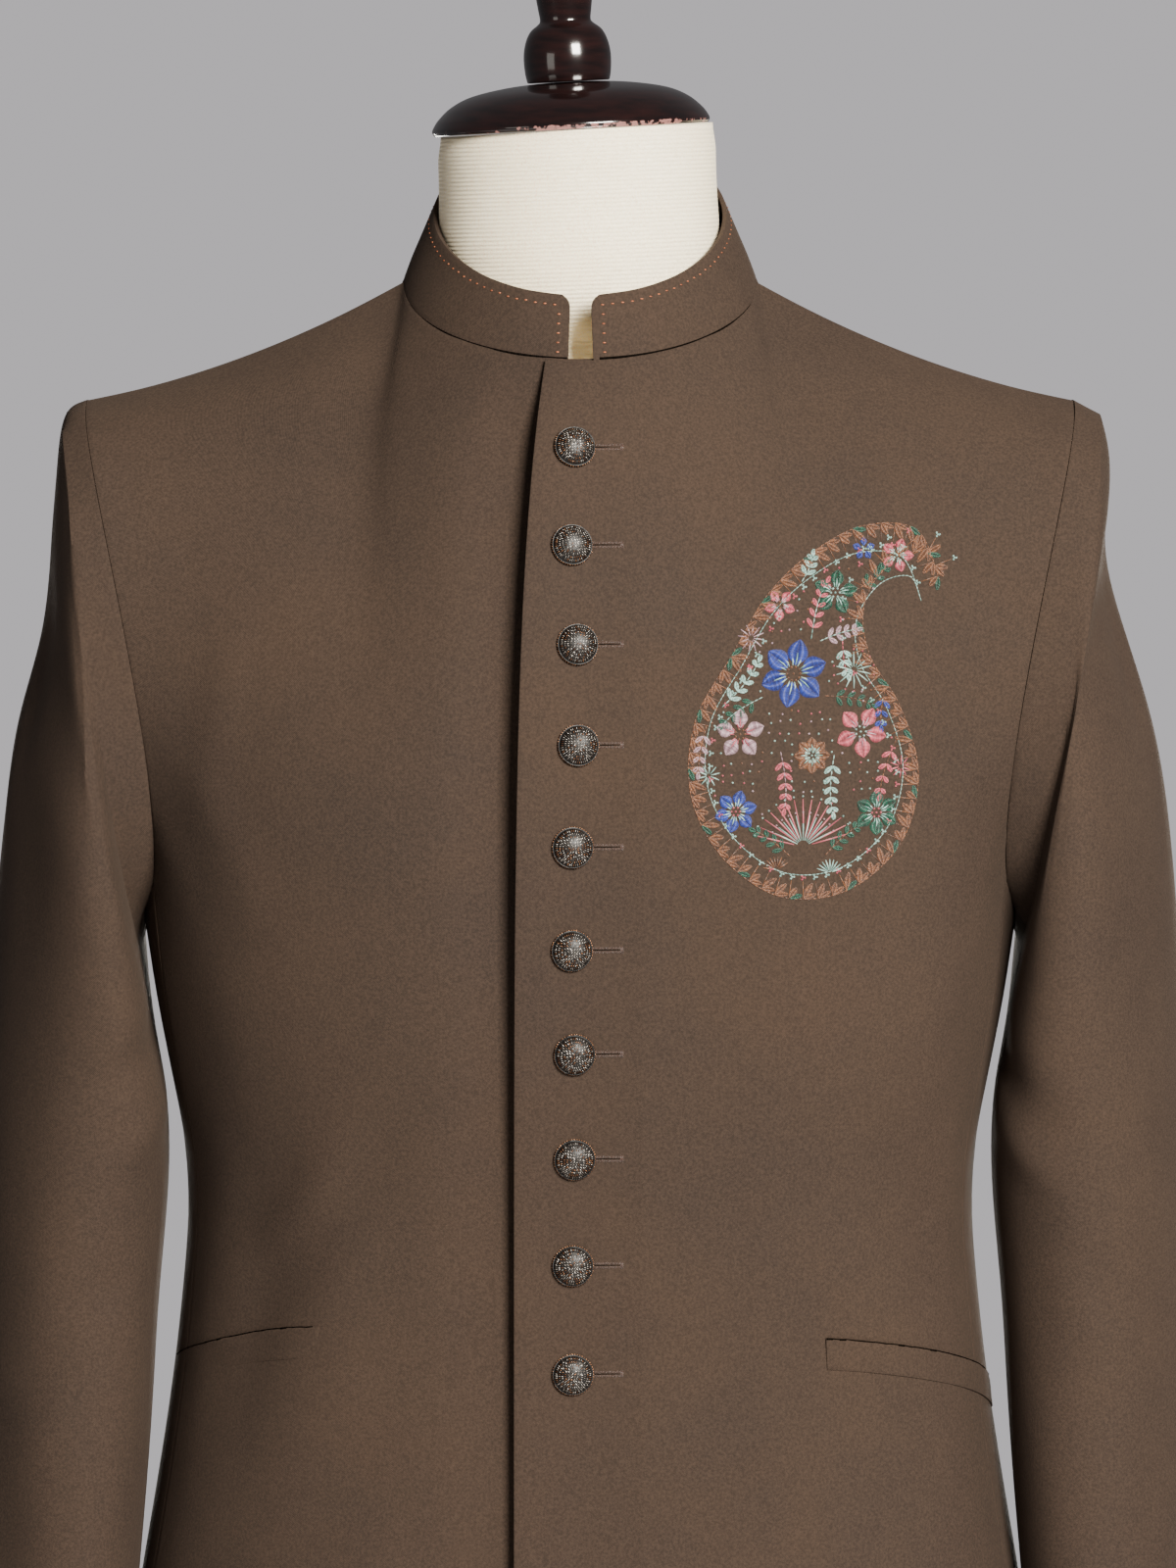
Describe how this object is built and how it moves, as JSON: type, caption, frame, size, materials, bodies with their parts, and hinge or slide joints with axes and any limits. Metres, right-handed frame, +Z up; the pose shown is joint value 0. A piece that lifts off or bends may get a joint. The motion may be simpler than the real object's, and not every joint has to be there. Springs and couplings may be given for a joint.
{
  "type": "bandhgala jacket on a dress form",
  "caption": "Stand-collared jacket buttoned to the neck, with welt pockets and two-piece sleeves, worn by a limbless dress form on a turned stand.",
  "frame": {"origin": "middle of the stand foot's underside, on the floor", "axes": "+Z up along the stand's pole, the jacket's front towards -Y, +X to the wearer's left"},
  "size_m": [0.5692, 0.38, 1.5333],
  "materials": {
    "suiting": "soft napped brown wool",
    "beads": "covered with small metal beads",
    "jersey": "cream jersey over a hard form",
    "lacquered_wood": "dark gloss lacquer"
  },
  "bodies": {
    "root": {"front_left": "suiting", "side_left": "suiting", "back_left": "suiting", "pocket_welt_left": "suiting", "sleeve_top_left": "suiting", "sleeve_under_left": "suiting", "front_right": "suiting", "side_right": "suiting", "back_right": "suiting", "pocket_welt_right": "suiting", "sleeve_top_right": "suiting", "sleeve_under_right": "suiting", "collar": "suiting", "button_01": "beads", "button_02": "beads", "button_03": "beads", "button_04": "beads", "button_05": "beads", "button_06": "beads", "button_07": "beads", "button_08": "beads", "button_09": "beads", "button_10": "beads", "dress_form": "jersey", "neck_cap": "lacquered_wood", "finial": "lacquered_wood", "stand_pole": "lacquered_wood", "stand_foot": "lacquered_wood"}
  },
  "joints": []
}
